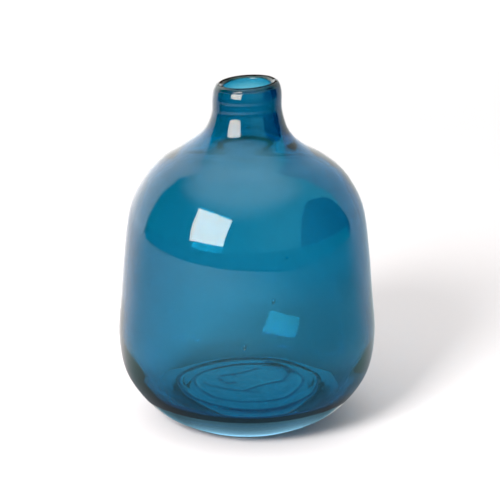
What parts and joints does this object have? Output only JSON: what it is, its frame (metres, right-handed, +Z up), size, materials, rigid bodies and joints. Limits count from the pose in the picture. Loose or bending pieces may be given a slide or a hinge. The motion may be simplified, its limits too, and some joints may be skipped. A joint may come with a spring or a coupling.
{
  "type": "bud vase",
  "caption": "Hand-blown bud vase of blue cased glass: round-shouldered body, narrow neck with a thick rounded lip, heavy base.",
  "frame": {"origin": "centre of the flat ground base, on the surface that the vase stands on", "axes": "+Z up through the mouth; -Y faces the viewer of the front; +X to the viewer's right"},
  "size_m": [0.11, 0.11, 0.1493],
  "materials": {
    "clear_glass": "clear, fire-polished, very slightly grey",
    "blue_glass": "transparent steel blue, glossy, with a few seeds"
  },
  "bodies": {
    "root": {"clear_glass_casing": "clear_glass", "blue_glass_lining": "blue_glass"}
  },
  "joints": []
}
